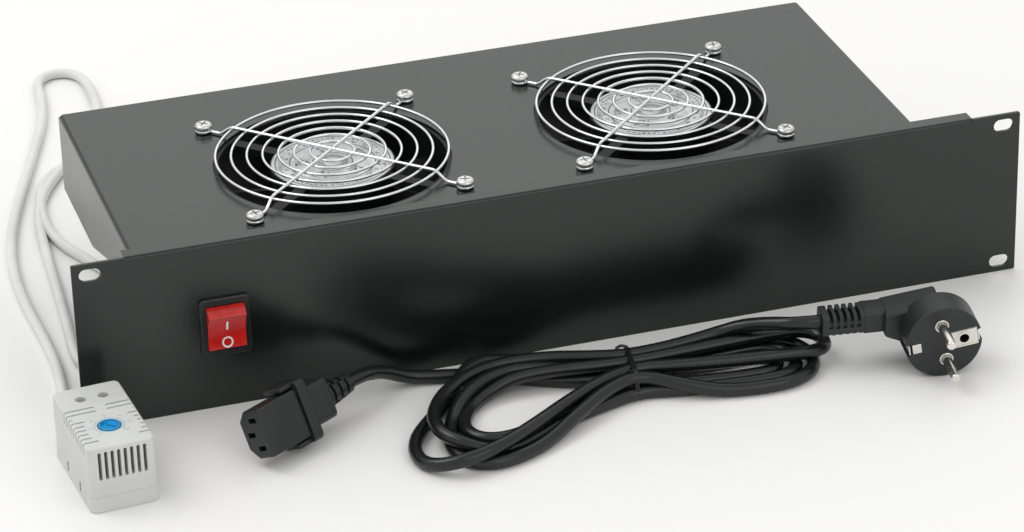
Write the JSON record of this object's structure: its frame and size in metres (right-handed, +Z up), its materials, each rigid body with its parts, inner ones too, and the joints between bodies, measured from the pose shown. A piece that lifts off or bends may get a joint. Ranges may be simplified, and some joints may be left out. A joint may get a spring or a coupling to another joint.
{
  "type": "rack fan tray",
  "caption": "Two-unit rack fan tray: folded black steel tray with panel, mains fans under wire guards, rocker switch, mains inlet, corded thermostat and mains lead.",
  "frame": {"origin": "middle of the pattern of four rack slots, on the front face of the front panel", "axes": "+X to the right seen from the front, +Y to the rear, +Z up"},
  "size_m": [0.5001, 0.5079, 0.0936],
  "materials": {
    "black_paint": "fine textured powder coat",
    "zinc": "bright zinc plate",
    "fan_casting": "satin black",
    "fan_plastic": "matte",
    "steel": "ground",
    "bearing_bronze": "sintered",
    "stator_steel": "laminated",
    "label_foil": "satin foil",
    "guard_chrome": "bright nickel chrome plate",
    "black_plastic": "satin",
    "red_plastic": "gloss, translucent red",
    "brass_tin": "tinned",
    "grey_plastic": "matte",
    "stat_plastic": "light grey, matte",
    "blue_plastic": "satin",
    "white_cable": "satin",
    "black_rubber": "matte",
    "black_cable": "satin",
    "tie_plastic": "matte",
    "pin_metal": "nickel plate"
  },
  "bodies": {
    "tray": {"front_panel": "black_paint", "panel_studs": "zinc", "panel_nuts": "zinc", "fan_box": "black_paint", "fan_frame_left": "fan_casting", "fan_frame_right": "fan_casting", "fan_bearings": "bearing_bronze", "fan_stators": "stator_steel", "fan_labels": "label_foil", "guard_left": "guard_chrome", "guard_right": "guard_chrome", "guard_screws": "zinc", "guard_nuts": "zinc", "switch_housing": "black_plastic", "switch_terminals": "brass_tin", "inlet_housing": "black_plastic", "inlet_pins": "brass_tin", "inlet_terminals": "brass_tin", "inlet_screws": "zinc", "inlet_nuts": "zinc", "cable_gland": "grey_plastic", "gland_nut": "grey_plastic", "earth_stud": "zinc", "earth_tag": "brass_tin", "earth_nut": "zinc", "thermostat_base": "stat_plastic", "thermostat_housing": "stat_plastic", "thermostat_screws": "zinc", "thermostat_collar": "stat_plastic", "thermostat_cable": "white_cable", "connector_body": "black_rubber", "lead_hank": "black_cable", "hank_tie": "tie_plastic", "plug_body": "black_rubber", "plug_pins": "pin_metal", "plug_earth_clips": "pin_metal", "lead_cord_connector_end": "black_cable", "lead_cord_plug_end": "black_cable"},
    "fan_left": {"fan_rotor_left": "fan_plastic", "fan_shaft_left": "steel"},
    "fan_right": {"fan_rotor_right": "fan_plastic", "fan_shaft_right": "steel"},
    "rocker": {"switch_rocker": "red_plastic"},
    "dial": {"thermostat_dial": "blue_plastic"}
  },
  "joints": [
    {"name": "fan_left_spin", "type": "hinge", "parent": "tray", "child": "fan_left", "pos_m": [-0.095, 0.071, 0.02], "axis": [0, 0, 1], "continuous": true},
    {"name": "fan_right_spin", "type": "hinge", "parent": "tray", "child": "fan_right", "pos_m": [0.071, 0.071, 0.02], "axis": [0, 0, 1], "continuous": true},
    {"name": "switch_rock", "type": "hinge", "parent": "tray", "child": "rocker", "pos_m": [-0.1695, 0.001, 0], "axis": [-1, 0, 0], "range_deg": [0, 20]},
    {"name": "dial_turn", "type": "hinge", "parent": "tray", "child": "dial", "pos_m": [-0.23934, -0.05817, -0.0101], "axis": [0, 0, 1], "range_deg": [-135, 135]}
  ]
}
